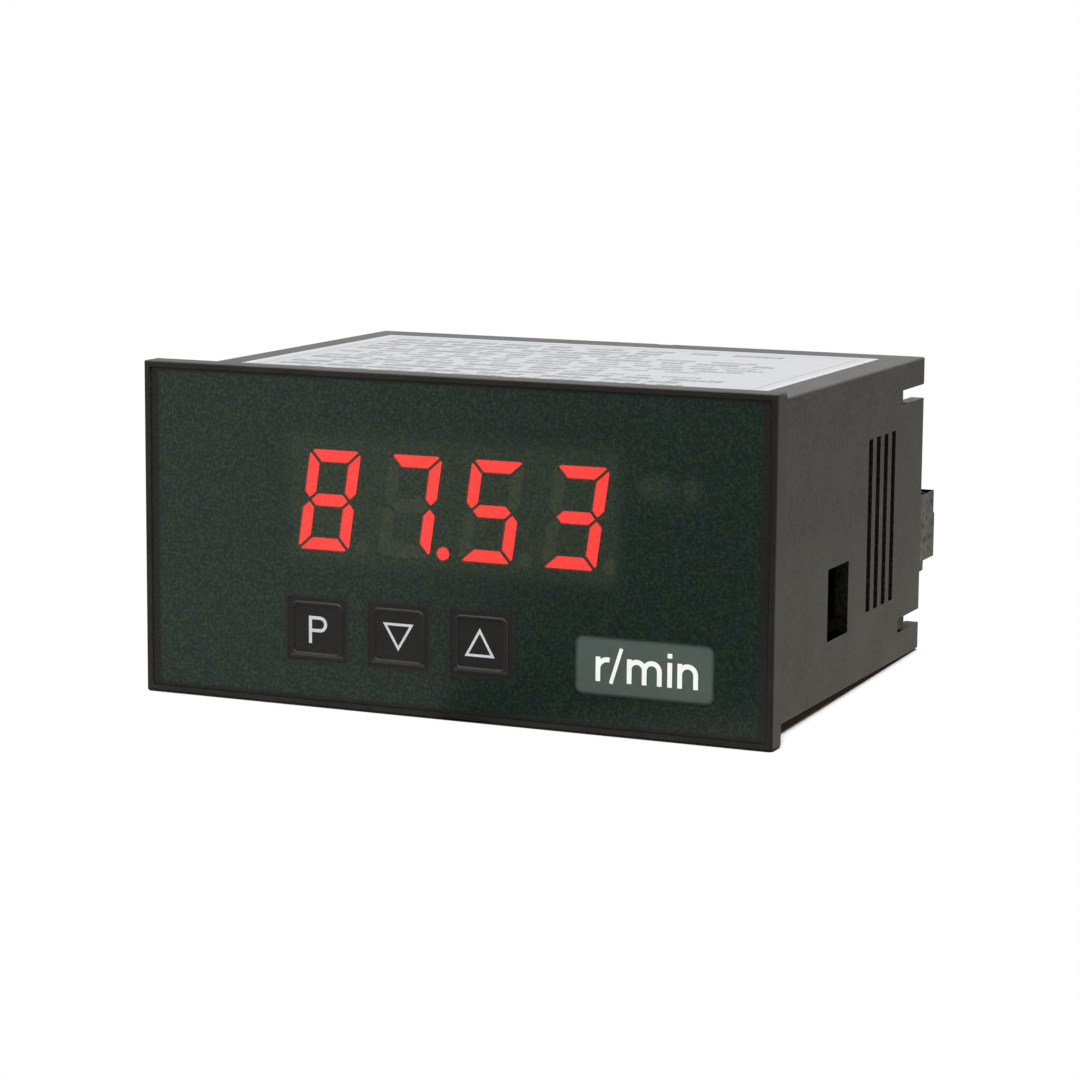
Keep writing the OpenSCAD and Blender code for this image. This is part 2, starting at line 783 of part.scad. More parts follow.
// Fixed socket of one plug, open to the rear
module socket(group) color("#2b2d2b") {
    w = pole_counts[group] * pole_pitch - group_gap;
    x = group_x[group] + group_gap / 2;
    len = y_socket_mouth - y_socket;
    difference() {
        translate([x, y_socket, board_top]) cube([w, len, socket_h]);
        translate([x + socket_end, y_socket + socket_floor, board_top + socket_wall])
            cube([w - 2 * socket_end, len, socket_h - 2 * socket_wall]);
        for (pole = [0 : pole_counts[group] - 1])
            translate([pole_x(group, pole), y_socket, pin_z]) cube([pin_side, 4 * socket_floor, pin_side], center = true);
    }
}

// Angled pins, one for each pole, from the main board into the sockets
module socket_pins() color(metal) {
    leg_gap = 0.3;
    y_leg = y_socket - leg_gap - pin_side;
    for (group = [0 : 2], pole = [0 : pole_counts[group] - 1])
        along_x(pole_x(group, pole) - pin_side / 2, pole_x(group, pole) + pin_side / 2) {
            translate([y_leg, pin_z - pin_side / 2])
                square([y_socket + socket_floor + pin_out - y_leg, pin_side]);
            translate([y_leg, board_top]) square([pin_side, pin_z - board_top]);
        }
}

// Side outline of a plug behind its socket: wire entry above, step below
module plug_outline() {
    upper_step = 0.5;
    upper_h = 3.6;
    under_y = 5.5;
    under_z = plug_top - 10.6;
    low_y = 8;
    low_z = plug_top - 12.1;
    foot_z = board_top + 0.45;
    polygon([
        [y_plug, foot_z], [y_plug_back - low_y, foot_z], [y_plug_back - low_y, low_z],
        [y_plug_back - under_y, low_z], [y_plug_back - under_y, under_z], [y_plug_back, under_z],
        [y_plug_back, plug_top - upper_h], [y_plug_back - upper_step, plug_top - upper_h],
        [y_plug_back - upper_step, plug_top], [y_plug, plug_top]
    ]);
}

module plug(group) color("#4b4d4a") {
    poles = pole_counts[group];
    x = group_x[group] + group_gap / 2;
    w = poles * pole_pitch - group_gap;
    tongue_w = w - 2 * (socket_end + slide_gap);
    tongue_h = socket_h - 2 * (socket_wall + slide_gap);
    hole = pin_side + 4 * slide_gap;
    groove = [0.5, 0.35];
    difference() {
        union() {
            along_x(x, x + w) plug_outline();
            translate([x + socket_end + slide_gap, y_plug - slide_gap - tongue_len, board_top + socket_wall + slide_gap])
                cube([tongue_w, tongue_len + slide_gap + cut, tongue_h]);
        }
        for (pole = [0 : poles - 1]) {
            px = pole_x(group, pole);
            translate([px - hole / 2, y_plug - 2 * tongue_len, pin_z - hole / 2])
                cube([hole, 2 * tongue_len, hole]);
            translate([px - chamber.x / 2, y_plug_back - chamber.y, chamber_z]) cube([chamber.x, chamber.y + cut, chamber.z]);
            translate([px, screw_y, plug_top - screw_sunk - screw_head_t - fit_gap])
                cylinder(d = screw_head_d + 2 * slide_gap, h = screw_sunk + screw_head_t + fit_gap + cut);
            translate([px, screw_y, chamber_z + chamber.z / 2])
                cylinder(d = screw_d + 2 * slide_gap, h = plug_top - chamber_z - chamber.z / 2 - screw_sunk);
        }
        for (pole = [1 : poles - 1])
            translate([group_x[group] + pole * pole_pitch - groove.x / 2, y_plug_back - groove.y, chamber_z])
                cube([groove.x, groove.y + cut, plug_top - chamber_z + cut]);
    }
}

module terminal_screws(group) color(metal) {
    z_head = plug_top - screw_sunk - screw_head_t;
    z_tip = chamber_z + chamber.z - 1.6;
    for (pole = [0 : pole_counts[group] - 1]) translate([pole_x(group, pole), screw_y, 0]) difference() {
        union() {
            translate([0, 0, z_head]) cylinder(d = screw_head_d, h = screw_head_t);
            translate([0, 0, z_tip]) cylinder(d = screw_d, h = z_head - z_tip);
        }
        translate([-screw_head_d, -driver_slot.x / 2, z_head + screw_head_t - driver_slot.y])
            cube([2 * screw_head_d, driver_slot.x, driver_slot.y + cut]);
    }
}

// Metal clamps that the screws draw up, with a square way for the wire
module wire_clamps(group) color("#c7c2a0") {
    y_clamp = y_plug_back - clamp_inset - clamp_size.y;
    z_clamp = chamber_z + fit_gap;
    clamp_floor = 0.6;
    for (pole = [0 : pole_counts[group] - 1]) translate([pole_x(group, pole), 0, 0]) difference() {
        translate([-clamp_size.x / 2, y_clamp, z_clamp]) cube(clamp_size);
        translate([-wire_hole.x / 2, y_clamp - cut, z_clamp + clamp_floor])
            cube([wire_hole.x, clamp_size.y + 2 * cut, wire_hole.y]);
        translate([0, screw_y, z_clamp + clamp_floor + cut])
            cylinder(d = screw_d + 2 * slide_gap, h = clamp_size.z);
    }
}

housing();
panel_gasket();
front_film();
unit_strip();
top_label();
display_board();
digit_module(0);  // digit_module_1
digit_module(1);  // digit_module_2
digit_module(2);  // digit_module_3
digit_module(3);  // digit_module_4
segments_lit();
segments_unlit();
status_lamp(0);  // status_lamp_1
status_lamp(1);  // status_lamp_2
key_pad(0);  // key_p
key_pad(1);  // key_down
key_pad(2);  // key_up
switch_plunger(0);  // plunger_p
switch_plunger(1);  // plunger_down
switch_plunger(2);  // plunger_up
key_switch(0);  // switch_p
key_switch(1);  // switch_down
key_switch(2);  // switch_up
main_board();
board_link();
board_link_pins();
transformer_core();
transformer_coil();
relay(0);  // relay_1
relay(1);  // relay_2
smoothing_capacitor();
output_capacitor();
rectifier();
regulator();
controller_chip();
converter_chip();
crystal();
varistor();
rear_cover();
socket(0);  // socket_supply
socket(1);  // socket_input
socket(2);  // socket_relay
socket_pins();
plug(0);  // plug_supply
plug(1);  // plug_input
plug(2);  // plug_relay
terminal_screws(0);  // screws_supply
terminal_screws(1);  // screws_input
terminal_screws(2);  // screws_relay
wire_clamps(0);  // clamps_supply
wire_clamps(1);  // clamps_input
wire_clamps(2);  // clamps_relay
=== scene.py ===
# Digital panel meter: finishes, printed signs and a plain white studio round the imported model
import json
import math
import random

import bmesh
import bpy
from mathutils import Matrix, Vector


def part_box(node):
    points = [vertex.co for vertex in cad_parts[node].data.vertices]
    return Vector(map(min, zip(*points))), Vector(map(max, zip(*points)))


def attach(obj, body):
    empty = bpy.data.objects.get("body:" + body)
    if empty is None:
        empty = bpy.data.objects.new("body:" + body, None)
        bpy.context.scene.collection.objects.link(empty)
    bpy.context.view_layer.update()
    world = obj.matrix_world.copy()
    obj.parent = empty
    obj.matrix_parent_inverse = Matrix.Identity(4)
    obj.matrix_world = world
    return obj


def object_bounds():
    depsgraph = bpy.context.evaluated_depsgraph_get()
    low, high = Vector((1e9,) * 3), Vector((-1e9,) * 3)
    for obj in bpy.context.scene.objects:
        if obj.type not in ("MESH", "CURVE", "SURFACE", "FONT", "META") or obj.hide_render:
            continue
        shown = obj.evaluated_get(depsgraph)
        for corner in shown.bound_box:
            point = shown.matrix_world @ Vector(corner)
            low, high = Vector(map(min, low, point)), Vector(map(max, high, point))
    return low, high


mm = 0.001     # lengths in the settings are millimetres, unless a note says metres
keyPads = ("key_p", "key_down", "key_up")      # from the left

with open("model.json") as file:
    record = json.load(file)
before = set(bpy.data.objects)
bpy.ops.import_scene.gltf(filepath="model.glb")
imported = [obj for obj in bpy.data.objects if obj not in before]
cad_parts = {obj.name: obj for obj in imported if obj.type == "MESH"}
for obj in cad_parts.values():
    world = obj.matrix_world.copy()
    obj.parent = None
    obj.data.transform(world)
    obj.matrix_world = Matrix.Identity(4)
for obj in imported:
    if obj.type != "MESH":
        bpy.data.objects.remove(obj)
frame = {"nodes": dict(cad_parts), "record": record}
nodes = frame["nodes"]
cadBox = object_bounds()


def middle(node):
    low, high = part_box(node)
    return (low + high) / 2


def addObject(name, data):
    thing = bpy.data.objects.new(name, data)
    bpy.context.scene.collection.objects.link(thing)
    return thing


def startMaterial(name):
    material = bpy.data.materials.new(name)
    material.use_nodes = True
    tree = material.node_tree
    tree.nodes.clear()
    output = tree.nodes.new("ShaderNodeOutputMaterial")
    return material, tree, output


def principled(tree, output, roughness=0.5, specular=0.5, metallic=0.0, color=None):
    shader = tree.nodes.new("ShaderNodeBsdfPrincipled")
    shader.inputs["Roughness"].default_value = roughness
    shader.inputs["Specular IOR Level"].default_value = specular
    shader.inputs["Metallic"].default_value = metallic
    if color:
        shader.inputs["Base Color"].default_value = (*color, 1)
    tree.links.new(shader.outputs[0], output.inputs["Surface"])
    return shader


def objectPlace(tree):
    return tree.nodes.new("ShaderNodeTexCoord").outputs["Object"]


def feed(tree, socket, given):
    # links another node's socket, or sets a number or tuple
    if isinstance(given, bpy.types.NodeSocket):
        tree.links.new(given, socket)
    else:
        socket.default_value = given


def feedColor(tree, socket, color):
    feed(tree, socket, (*color, 1) if isinstance(color, tuple) else color)


def value(tree, kind, a, b=0.0, clamp=False):
    # one Math node
    node = tree.nodes.new("ShaderNodeMath")
    node.operation = kind
    node.use_clamp = clamp
    feed(tree, node.inputs[0], a)
    feed(tree, node.inputs[1], b)
    return node.outputs[0]


def product(tree, first, *others):
    for other in others:
        first = value(tree, "MULTIPLY", first, other)
    return first


def vector(tree, kind, a, b=(0, 0, 0)):
    # one Vector Math node
    node = tree.nodes.new("ShaderNodeVectorMath")
    node.operation = kind
    feed(tree, node.inputs[0], a)
    feed(tree, node.inputs[1], b)
    return node.outputs["Value" if kind in ("LENGTH", "DOT_PRODUCT") else "Vector"]


def scaled(tree, color, factor):
    tinted = vector(tree, "SCALE", color)
    feed(tree, tinted.node.inputs["Scale"], factor)
    return tinted


def axis(tree, place, name):
    node = tree.nodes.new("ShaderNodeSeparateXYZ")
    tree.links.new(place, node.inputs[0])
    return node.outputs[name]


def facing(tree, name):
    # one part of the surface's direction
    return axis(tree, tree.nodes.new("ShaderNodeNewGeometry").outputs["Normal"], name)


def noise(tree, place, size, detail=2.0, roughness=0.5):
    # grain of about this size in millimetres
    node = tree.nodes.new("ShaderNodeTexNoise")
    node.inputs["Scale"].default_value = 1 / (size * mm)
    node.inputs["Detail"].default_value = detail
    node.inputs["Roughness"].default_value = roughness
    tree.links.new(place, node.inputs["Vector"])
    return node.outputs["Fac"]


def fineGrain(tree, place, size):
    return noise(tree, place, size, 2.0, 0.6)


def spread(tree, fac, low, high, start=0.0, end=1.0, kind="LINEAR"):
    # stretches low..high to start..end
    node = tree.nodes.new("ShaderNodeMapRange")
    node.interpolation_type = kind
    for name, given in (("From Min", low), ("From Max", high), ("To Min", start), ("To Max", end)):
        node.inputs[name].default_value = given
    tree.links.new(fac, node.inputs["Value"])
    return node.outputs["Result"]


def varied(tree, grain, low, high):
    # follows a noise from low to high
    return spread(tree, grain, 0.3, 0.7, low, high)


def uneven(tree, grain, roughness, less=0.05, more=0.06):
    # roughness that follows the grain
    return varied(tree, grain, roughness - less, roughness + more)


def turned(tree, name, away=0.0, toward=1.0):
    # goes from away to toward where the surface looks along this axis
    return spread(tree, facing(tree, name), 0.6, 0.9, away, toward)


def ramp(tree, fac, stops):
    # two stops, each (position, colour)
    node = tree.nodes.new("ShaderNodeValToRGB")
    for element, (at, color) in zip(node.color_ramp.elements, stops):
        element.position = at
        element.color = (*color, 1)
    tree.links.new(fac, node.inputs["Fac"])
    return node.outputs["Color"]


def mixColor(tree, fac, a, b, kind="MIX"):
    node = tree.nodes.new("ShaderNodeMix")
    node.data_type = "RGBA"
    node.blend_type = kind
    feed(tree, node.inputs[0], fac)
    feedColor(tree, node.inputs[6], a)
    feedColor(tree, node.inputs[7], b)
    return node.outputs[2]


def bump(tree, shader, height, depth):
    # depth in millimetres
    node = tree.nodes.new("ShaderNodeBump")
    node.inputs["Strength"].default_value = 1
    node.inputs["Distance"].default_value = depth * mm
    tree.links.new(height, node.inputs["Height"])
    tree.links.new(node.outputs[0], shader.inputs["Normal"])


def roundedWindow(tree, place, centre, size, radius, soft):
    # 1 inside a rounded rectangle on the front, 0 outside; millimetres
    half = (size[0] / 2 - radius, size[1] / 2 - radius)
    moved = vector(tree, "SUBTRACT", place, (centre[0] * mm, 0, centre[1] * mm))
    flat = vector(tree, "ABSOLUTE", vector(tree, "MULTIPLY", moved, (1, 0, 1)))
    apart = vector(tree, "SUBTRACT", flat, (half[0] * mm, 0, half[1] * mm))
    outside = vector(tree, "LENGTH", vector(tree, "MAXIMUM", apart, (0, 0, 0)))
    return spread(tree, outside, (radius - soft) * mm, (radius + soft) * mm, 1, 0, "SMOOTHSTEP")


def mottle(tree, shader, place, fine, finish, paintedLightShare=1.0):
    # uneven colour and gloss, both times a share that carries painted light and shade
    broad = noise(tree, place, 9.0, 2.0)
    spots = finish["spots"]
    shade = value(tree, "ADD", varied(tree, fine, 1 - spots, 1 + spots),
                  varied(tree, broad, -spots / 4, spots / 4))
    shade = product(tree, shade, paintedLightShare)
    tree.links.new(scaled(tree, finish["color"], shade), shader.inputs["Base Color"])
    tree.links.new(product(tree, shade, finish["specular"]), shader.inputs["Specular IOR Level"])


def grainedPlastic(name, color, roughness, specular, grain=0.35, depth=0.012, spots=0.12):
    # moulded plastic with fine grain
    material, tree, output = startMaterial(name)
    shader = principled(tree, output, roughness, specular)
    place = objectPlace(tree)
    fine = fineGrain(tree, place, grain)
    mottle(tree, shader, place, fine, {"color": color, "specular": specular, "spots": spots})
    tree.links.new(uneven(tree, fine, roughness), shader.inputs["Roughness"])
    bump(tree, shader, fine, depth)
    return material


casing = {
    "color": (0.0095, 0.0082, 0.0054),
    "roughness": 0.43,
    "specular": 0.45,
    "grain": 0.65,
    "depth": 0.010,
    "spots": 0.5,
    "frameGrain": 0.2,             # share of the grain left on the frame in front of the panel
    "frameMatte": 0.13,            # roughness added on the frame, but for its two ends
    "grazing": (0.66, 0.82),       # view at which the sheen starts and is full
    "sheen": 0.05,                 # roughness lost there
    "openings": (1.5, 60, 0.5),    # painted shade: ledges between these places are dark; soft edge
    "lookingDown": (-0.3, -0.05),  # slopes between which the shade below fades out
    "undersideShade": 0.15,             # painted shade: share of colour and gloss left on faces that look down
    "leftGroove": (-46, -45),      # place of the frame's left groove
    "grooveWallLight": 5.0,             # and how much brighter painted light makes its wall
}


def casePlastic():
    # black moulding with spark-eroded grain, smoother on the frame
    material, tree, output = startMaterial("casePlastic")
    shader = principled(tree, output)
    place = objectPlace(tree)
    onFrame = spread(tree, axis(tree, place, "Y"), 0, 1 * mm, 1, 0)
    fine = value(tree, "SUBTRACT", fineGrain(tree, place, casing["grain"]), 0.5)
    fine = product(tree, fine, spread(tree, onFrame, 0, 1, 1, casing["frameGrain"]))
    fine = value(tree, "ADD", fine, 0.5)
    inner = offTopWall(tree, place)
    mottle(tree, shader, place, fine, casing, casePaintedLight(tree, place, inner))
    grazing = tree.nodes.new("ShaderNodeLayerWeight").outputs["Facing"]
    sheen = spread(tree, grazing, *casing["grazing"], 0, casing["sheen"], "SMOOTHSTEP")
    satin = uneven(tree, fine, casing["roughness"])
    satin = value(tree, "SUBTRACT", satin, product(tree, sheen, inner))
    sideways = value(tree, "ABSOLUTE", facing(tree, "X"))
    matte = product(tree, onFrame, spread(tree, sideways, 0.3, 0.7, casing["frameMatte"], 0))
    tree.links.new(value(tree, "ADD", satin, matte), shader.inputs["Roughness"])
    bump(tree, shader, fine, casing["depth"])
    return material


def offTopWall(tree, place):
    # 0 on the wall under the label, else 1
    wall = value(tree, "COMPARE", axis(tree, place, "Z"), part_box("top_label")[0].z)
    wall.node.inputs[2].default_value = 0.3 * mm     # counts as the same height
    return spread(tree, wall, 0, 1, 1, 0)


def casePaintedLight(tree, place, inner):
    # painted shade on the ledges in the openings and on the underside, and painted light on the
    # left groove's wall
    start, end, soft = casing["openings"]
    depth = axis(tree, place, "Y")
    ledgeShade = product(
        tree, inner, turned(tree, "Z"),
        spread(tree, depth, (start - soft) * mm, start * mm),
        spread(tree, depth, end * mm, (end + soft) * mm, 1, 0),
    )
    shadeBelow = spread(tree, facing(tree, "Z"), *casing["lookingDown"], casing["undersideShade"], 1)
    left, right = casing["leftGroove"]
    wall = product(
        tree, turned(tree, "X"),
        spread(tree, depth, -1 * mm, 0, 1, 0),
        spread(tree, axis(tree, place, "X"), left * mm, right * mm, 1, 0),
    )
    paintedWallLight = spread(tree, wall, 0, 1, 1, casing["grooveWallLight"])
    return product(tree, shadeBelow, value(tree, "SUBTRACT", 1.0, ledgeShade), paintedWallLight)


plug = {
    "color": (0.036, 0.035, 0.029),
    "roughness": 0.45,
    "specular": 0.4,
    "grain": 1.1,
    "depth": 0.12,
    "spots": 0.7,
    "topPaintedShade": 0.0,               # painted shade: share of colour and gloss left on the faces that look up
}


def plugPlastic():
    # coarsely textured black moulding, with painted shade on the faces that look up
    material, tree, output = startMaterial("plugPlastic")
    shader = principled(tree, output, plug["roughness"])
    place = objectPlace(tree)
    fine = fineGrain(tree, place, plug["grain"])
    mottle(tree, shader, place, fine, plug, turned(tree, "Z", 1, plug["topPaintedShade"]))
    bump(tree, shader, fine, plug["depth"])
    return material


def metal(name, color, roughness, grain=0.2):
    material, tree, output = startMaterial(name)
    shader = principled(tree, output, roughness, 0.5, 1.0, color)
    fine = noise(tree, objectPlace(tree), grain, 3.0)
    tree.links.new(uneven(tree, fine, roughness, 0.06, 0.08), shader.inputs["Roughness"])
    bump(tree, shader, fine, 0.003)
    return material


film = {
    "base": (0.0050, 0.0160, 0.0098),           # dark green tint of the film
    "speckBlue": (0.009, 0.030, 0.034),
    "speckGreen": (0.018, 0.037, 0.013),
    "speck": (0.42, 0.44, 0.66),                # size, and the noise where it starts and is full
    "hue": (0.9, 0.42, 0.58),                   # the same for the change from green to blue
    "border": (0.0085, 0.0078, 0.0064),
    "keyPrint": (0.0165, 0.0155, 0.0135),
    "paintedLeftLight": (-45, 10, 1.2),                     # painted light: the tint is this much paler at the left end
    "tinted": ((0, 0.12), (91.5, 45.1), 0.5, 0.25),     # centre, size, corner and soft edge
    "keyBorder": (0.9, 0.8, 0.5),               # print round each key: width, corner, soft edge
    "display": ((0.35, 5.9), (51.0, 18.8), 1.8, 1.6),   # see-through fields
    "lamps": ((32.1, 10.1), (10.0, 4.2), 1.5, 0.8),
    "unit": ((29.3, -14.5), (20.2, 8.0), 1.1, 0.5),
    "lampsShare": 0.4,
    "displayCover": 0.84,
    "displayHaze": (0.0120, 0.0165, 0.0095),    # added to the tint over the display
    "unitCover": 0.10,
    "roughness": 0.30,
    "borderRoughness": 0.56,
    "specular": 0.45,
    "glint": (0.8, 1.25),                       # share of the gloss between and on the specks
    "ripple": (0.25, 0.004),                    # size and depth
}


def slotSize(key):
    # width and height of the part of a key that stands in the film
    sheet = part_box("front_film")
    seen = [v.co for v in nodes[key].data.vertices if v.co.y < sheet[1].y]
    return [(max(c[i] for c in seen) - min(c[i] for c in seen)) / mm for i in (0, 2)]


def keyBorders(tree, place):
    # 1 on and close round the keys
    wider, corner, soft = film["keyBorder"]
    borders = 0.0
    for key in keyPads:
        centre = middle(key) / mm
        size = [side + wider for side in slotSize(key)]
        window = roundedWindow(tree, place, (centre.x, centre.z), size, corner, soft)
        borders = value(tree, "MAXIMUM", borders, window)
    return borders


def filmColor(tree, place, speck, display, field, keys):
    # specks on the tint, a haze over the display, painted light towards the left, dark print at the
    # border and round the keys
    hueSize, green, blue = film["hue"]
    hue = spread(tree, noise(tree, place, hueSize, 1.0), green, blue)
    speckColor = mixColor(tree, hue, film["speckGreen"], film["speckBlue"])
    tinted = mixColor(tree, spread(tree, speck, *film["speck"][1:]), film["base"], speckColor)
    left, right, pale = film["paintedLeftLight"]
    paintedLeftLight = spread(tree, axis(tree, place, "X"), left * mm, right * mm, pale, 1)
    tinted = mixColor(tree, display, scaled(tree, tinted, paintedLeftLight), film["displayHaze"], "ADD")
    return mixColor(tree, field, mixColor(tree, keys, film["border"], film["keyPrint"]), tinted)


def filmCover(tree, display, unit):
    # how much the film hides; only the face that the ray enters by tints it
    inside = tree.nodes.new("ShaderNodeNewGeometry").outputs["Backfacing"]
    return product(
        tree, spread(tree, display, 0, 1, 1, film["displayCover"]),
        spread(tree, unit, 0, 1, 1, film["unitCover"]),
        spread(tree, inside, 0, 1, 1, 0),
    )


def filmMaterial():
    material, tree, output = startMaterial("tintedFilm")
    shader = principled(tree, output, film["roughness"], film["specular"])
    place = objectPlace(tree)
    speck = noise(tree, place, film["speck"][0], 2.0, 0.7)
    lamps = product(tree, roundedWindow(tree, place, *film["lamps"]), film["lampsShare"])
    display = value(tree, "MAXIMUM", roundedWindow(tree, place, *film["display"]), lamps)
    unit = roundedWindow(tree, place, *film["unit"])
    keys = keyBorders(tree, place)
    field = value(tree, "SUBTRACT", roundedWindow(tree, place, *film["tinted"]), keys, True)
    satin = spread(tree, field, 0, 1, film["borderRoughness"], film["roughness"])
    glint = spread(tree, speck, 0.4, 0.7, *(share * film["specular"] for share in film["glint"]))
    rippleSize, rippleDepth = film["ripple"]
    tree.links.new(filmColor(tree, place, speck, display, field, keys), shader.inputs["Base Color"])
    tree.links.new(satin, shader.inputs["Roughness"])
    tree.links.new(filmCover(tree, display, unit), shader.inputs["Alpha"])
    tree.links.new(glint, shader.inputs["Specular IOR Level"])
    bump(tree, shader, noise(tree, place, rippleSize, 2.0), rippleDepth)
    return material


keyFilm = {
    "color": (0.0082, 0.0073, 0.0060),
    "roughness": 0.45,
    "specular": 0.40,
    "grain": 0.3,
    "depth": 0.005,
    "spots": 0.15,
    "paintedLightRight": 1.7,                               # painted light: colour of the last key against the first
    "rightSlopeLight": 1.6,                          # painted light: colour added on slopes that look right
    "ridgeHighlight": (0.040, 0.038, 0.034),            # painted highlight along the lower ridge of each key
    "ridgeHighlightBand": (0.60, (8.1, 0.40), 0.19, 0.19),      # height on the key, size, corner, soft edge
}


def paintedRidgeHighlights(tree, place):
    # 1 along the lower ridge of each key, where the painted highlight lies
    above, *band = keyFilm["ridgeHighlightBand"]
    ridgeHighlight = 0.0
    for key in keyPads:
        centre = middle(key) / mm
        ridge = centre.z - slotSize(key)[1] / 2 + above
        window = roundedWindow(tree, place, (centre.x, ridge), *band)
        ridgeHighlight = value(tree, "MAXIMUM", ridgeHighlight, window)
    return ridgeHighlight


def keyMaterial():
    # dark print on embossed film, with painted light towards the right and on slopes that look
    # right, and a painted highlight on the lower ridges
    material, tree, output = startMaterial("keyFilm")
    shader = principled(tree, output, keyFilm["roughness"], keyFilm["specular"])
    place = objectPlace(tree)
    fine = fineGrain(tree, place, keyFilm["grain"])
    mottle(tree, shader, place, fine, keyFilm)      # for its gloss; the colour follows
    first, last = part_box("key_p")[0].x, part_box("key_up")[1].x
    paintedLightRight = spread(tree, axis(tree, place, "X"), first, last, 1, keyFilm["paintedLightRight"])
    slopeLight = spread(tree, facing(tree, "X"), 0.05, 0.5, 0, keyFilm["rightSlopeLight"])
    spots = varied(tree, fine, -keyFilm["spots"], keyFilm["spots"])
    shade = value(tree, "ADD", value(tree, "ADD", paintedLightRight, slopeLight), spots)
    color = scaled(tree, keyFilm["color"], shade)
    color = mixColor(tree, paintedRidgeHighlights(tree, place), color, keyFilm["ridgeHighlight"], "ADD")
    tree.links.new(color, shader.inputs["Base Color"])
    bump(tree, shader, fine, keyFilm["depth"])
    return material


def glowMaterial(name, color, strength, body):
    roughness = 0.4
    material, tree, output = startMaterial(name)
    shader = principled(tree, output, roughness, 0.3, 0.0, body)
    shader.inputs["Emission Color"].default_value = (*color, 1)
    shader.inputs["Emission Strength"].default_value = strength
    fine = noise(tree, objectPlace(tree), 0.5)
    tree.links.new(uneven(tree, fine, roughness, 0.04, 0.06), shader.inputs["Roughness"])
    return material


board = {
    "dark": (0.015, 0.016, 0.005),
    "light": (0.028, 0.029, 0.009),
    "weave": 0.8,
    "depth": 0.01,
    "roughness": 0.6,
    "specular": 0.15,
}


def boardMaterial():
    # lacquered glass-epoxy board with a faint weave
    material, tree, output = startMaterial("circuitBoard")
    shader = principled(tree, output, board["roughness"], board["specular"])
    weave = noise(tree, objectPlace(tree), board["weave"], 2.0)
    color = ramp(tree, weave, [(0.3, board["dark"]), (0.7, board["light"])])
    tree.links.new(color, shader.inputs["Base Color"])
    bump(tree, shader, weave, board["depth"])
    return material


label = {
    "paper": (0.435, 0.445, 0.46),
    "margin": (0.52, 0.53, 0.545),
    "marginWidth": 0.9,
    "marginEdge": (1.0, 0.2),      # corner and soft edge
    "roughness": 0.45,
    "specular": 0.35,
    "fibre": (1.6, 0.94, 1.06),    # size, and the shades it runs between
    "tooth": (0.3, 0.004),         # size and depth
    "ink": (0.235, 0.245, 0.255),
    "thick": 0.01,                 # the print stands this much above the paper, and as much in it
    "border": 4.5,                 # from the label's edge to the rows of marks
    "heights": (1.4, 1.8, 2.4),    # of a row
    "space": 1.3,                  # between rows
    "indents": (0, 0, 5),
    "shorter": (2, 8, 22),         # a row ends this much before the border
    "lastWord": 6,                 # and no word starts within this of its end
    "marks": (3, 8),               # in one word
    "markWidths": (0.28, 0.5),     # against the row's height
    "markHeights": (0.72, 1, 1),
    "markGap": 0.22,
    "wordGaps": (0.8, 3.0),
    "frameInset": 2.6,
    "frameLine": 0.16,
}


def labelMaterial():
    # silver-grey stock with a paler unprinted margin
    material, tree, output = startMaterial("labelStock")
    shader = principled(tree, output, label["roughness"], label["specular"])
    place = objectPlace(tree)
    low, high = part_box("top_label")
    centre = middle("top_label") / mm
    size = (high - low) / mm - Vector((1, 1, 0)) * 2 * label["marginWidth"]
    flat = tree.nodes.new("ShaderNodeVectorRotate")
    flat.rotation_type = "X_AXIS"
    flat.inputs["Angle"].default_value = math.radians(90)    # lays the window's Z along Y
    tree.links.new(place, flat.inputs["Vector"])
    printed = roundedWindow(tree, flat.outputs[0], centre.xy, size.xy, *label["marginEdge"])
    fibreSize, *shades = label["fibre"]
    shade = varied(tree, noise(tree, place, fibreSize, 3.0), *shades)
    color = mixColor(tree, printed, label["margin"], label["paper"])
    tree.links.new(scaled(tree, color, shade), shader.inputs["Base Color"])
    toothSize, toothDepth = label["tooth"]
    bump(tree, shader, noise(tree, place, toothSize), toothDepth)
    return material


def wrappedMaterial(name, dark, light, roughness, band):
    # tape or sleeve wound in bands of this width
    material, tree, output = startMaterial(name)
    shader = principled(tree, output, roughness, 0.5)
    wave = tree.nodes.new("ShaderNodeTexWave")
    wave.bands_direction = "Z"
    wave.inputs["Scale"].default_value = 0.314 / (band * mm)     # one wave to a band
    wave.inputs["Distortion"].default_value = 0.4
    tree.links.new(objectPlace(tree), wave.inputs["Vector"])
    color = mixColor(tree, wave.outputs["Fac"], dark, light)
    tree.links.new(color, shader.inputs["Base Color"])
    bump(tree, shader, wave.outputs["Fac"], 0.02)
    return material


